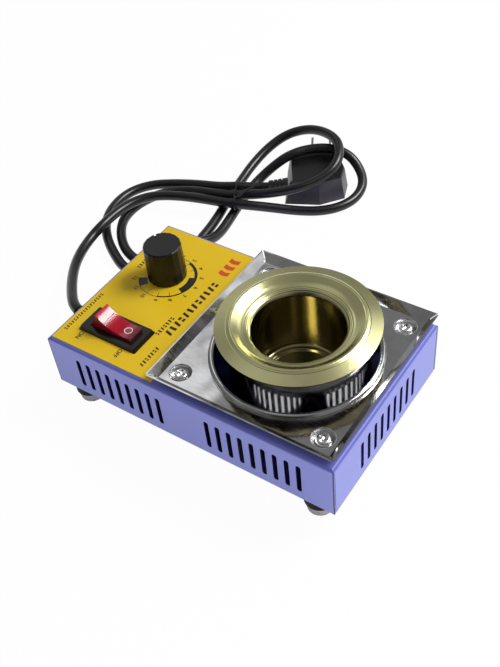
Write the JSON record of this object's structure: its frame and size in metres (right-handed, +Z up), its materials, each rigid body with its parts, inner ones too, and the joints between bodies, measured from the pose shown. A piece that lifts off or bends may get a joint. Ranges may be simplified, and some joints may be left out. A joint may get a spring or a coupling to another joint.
{
  "type": "bench solder pot",
  "caption": "Bench solder pot: vented sheet-metal case on rubber feet with a heated cup in a drip tray, a dial regulator, a rocker switch and a mains lead.",
  "frame": {"origin": "on the table under the middle of the case, between the four feet", "axes": "+X along the case towards the cup, +Y away from the slotted front wall to the rear, +Z up"},
  "size_m": [0.2676, 0.2802, 0.0723],
  "materials": {
    "blue_paint": "satin",
    "plain_steel": "satin",
    "yellow_label": "satin",
    "polished_steel": "polished",
    "gold_pot": "satin",
    "heater_mica": "matte",
    "black_plastic": "satin",
    "red_rocker": "gloss",
    "brass_contacts": "polished",
    "board_green": "satin",
    "sink_aluminium": "satin",
    "capacitor_case": "gloss",
    "black_rubber": "matte"
  },
  "bodies": {
    "base": {"case_shell": "blue_paint", "base_plate": "plain_steel", "base_screws": "plain_steel", "foot_screws": "plain_steel", "foot_nuts": "plain_steel", "tray_nuts": "plain_steel", "shield_standoffs": "plain_steel", "shield_screws": "plain_steel", "shield_nuts": "plain_steel", "board_standoffs": "plain_steel", "board_screws": "plain_steel", "regulator_washer": "plain_steel", "regulator_nut": "plain_steel", "control_label": "yellow_label", "drip_tray": "polished_steel", "tray_screws": "polished_steel", "heat_shield": "polished_steel", "solder_pot": "gold_pot", "heater_band": "heater_mica", "insulation_sleeve": "heater_mica", "insulation_pad": "heater_mica", "switch_body": "black_plastic", "regulator_body": "black_plastic", "plug_body": "black_plastic", "cord_gland": "black_plastic", "triac": "black_plastic", "terminal_block": "black_plastic", "switch_terminals": "brass_contacts", "regulator_terminals": "brass_contacts", "plug_pins": "brass_contacts", "circuit_board": "board_green", "heat_sink": "sink_aluminium", "film_capacitor": "capacitor_case", "foot_front_left": "black_rubber", "foot_front_right": "black_rubber", "foot_rear_left": "black_rubber", "foot_rear_right": "black_rubber", "power_cord": "black_rubber", "cord_tie": "black_rubber"},
    "rocker": {"rocker": "red_rocker"},
    "knob": {"control_knob": "black_plastic", "regulator_shaft": "plain_steel"}
  },
  "joints": [
    {"name": "rocker_tilt", "type": "hinge", "parent": "base", "child": "rocker", "pos_m": [-0.058, -0.0321, 0.0474], "axis": [0, -1, 0], "range_deg": [0, 36]},
    {"name": "knob_turn", "type": "hinge", "parent": "base", "child": "knob", "pos_m": [-0.061, 0.0172, 0.05], "axis": [0, 0, 1], "range_deg": [-300, 0]}
  ]
}
